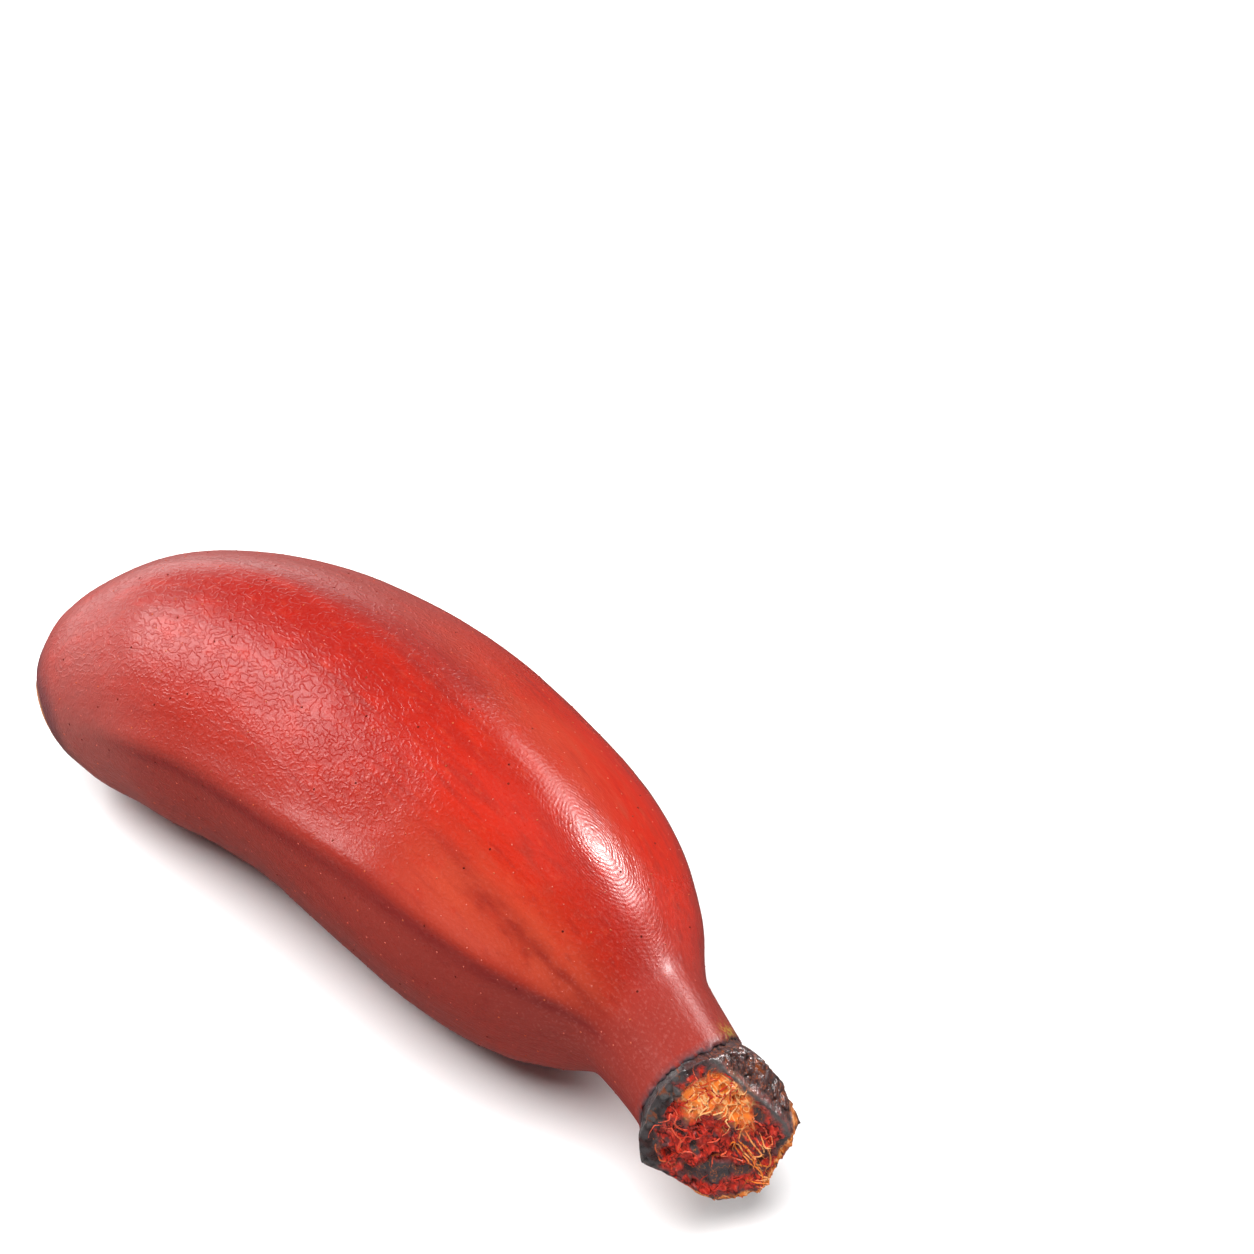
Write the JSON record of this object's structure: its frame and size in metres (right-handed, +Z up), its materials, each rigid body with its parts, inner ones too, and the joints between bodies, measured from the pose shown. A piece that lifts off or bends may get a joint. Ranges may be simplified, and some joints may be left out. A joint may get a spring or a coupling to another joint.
{
  "type": "red banana",
  "caption": "Plump red banana lying on its side, with a blunt blossom scar and a short neck torn from its hand; a loose fruit for a table, bowl or basket.",
  "frame": {"origin": "middle of the bounding box's footprint, on the surface that the fruit lies on", "axes": "+X along the fruit from the blossom end towards the stem, +Y towards the outside of its bend, +Z up"},
  "size_m": [0.1366, 0.0452, 0.0435],
  "materials": {
    "peel": "waxy, finely wrinkled, semi-gloss red peel",
    "torn_stem": "dried, torn stem fibre, red-brown to black with orange strands",
    "blossom_scar": "dry, corky brown scar"
  },
  "bodies": {
    "root": {"red_banana": "peel"}
  },
  "joints": []
}
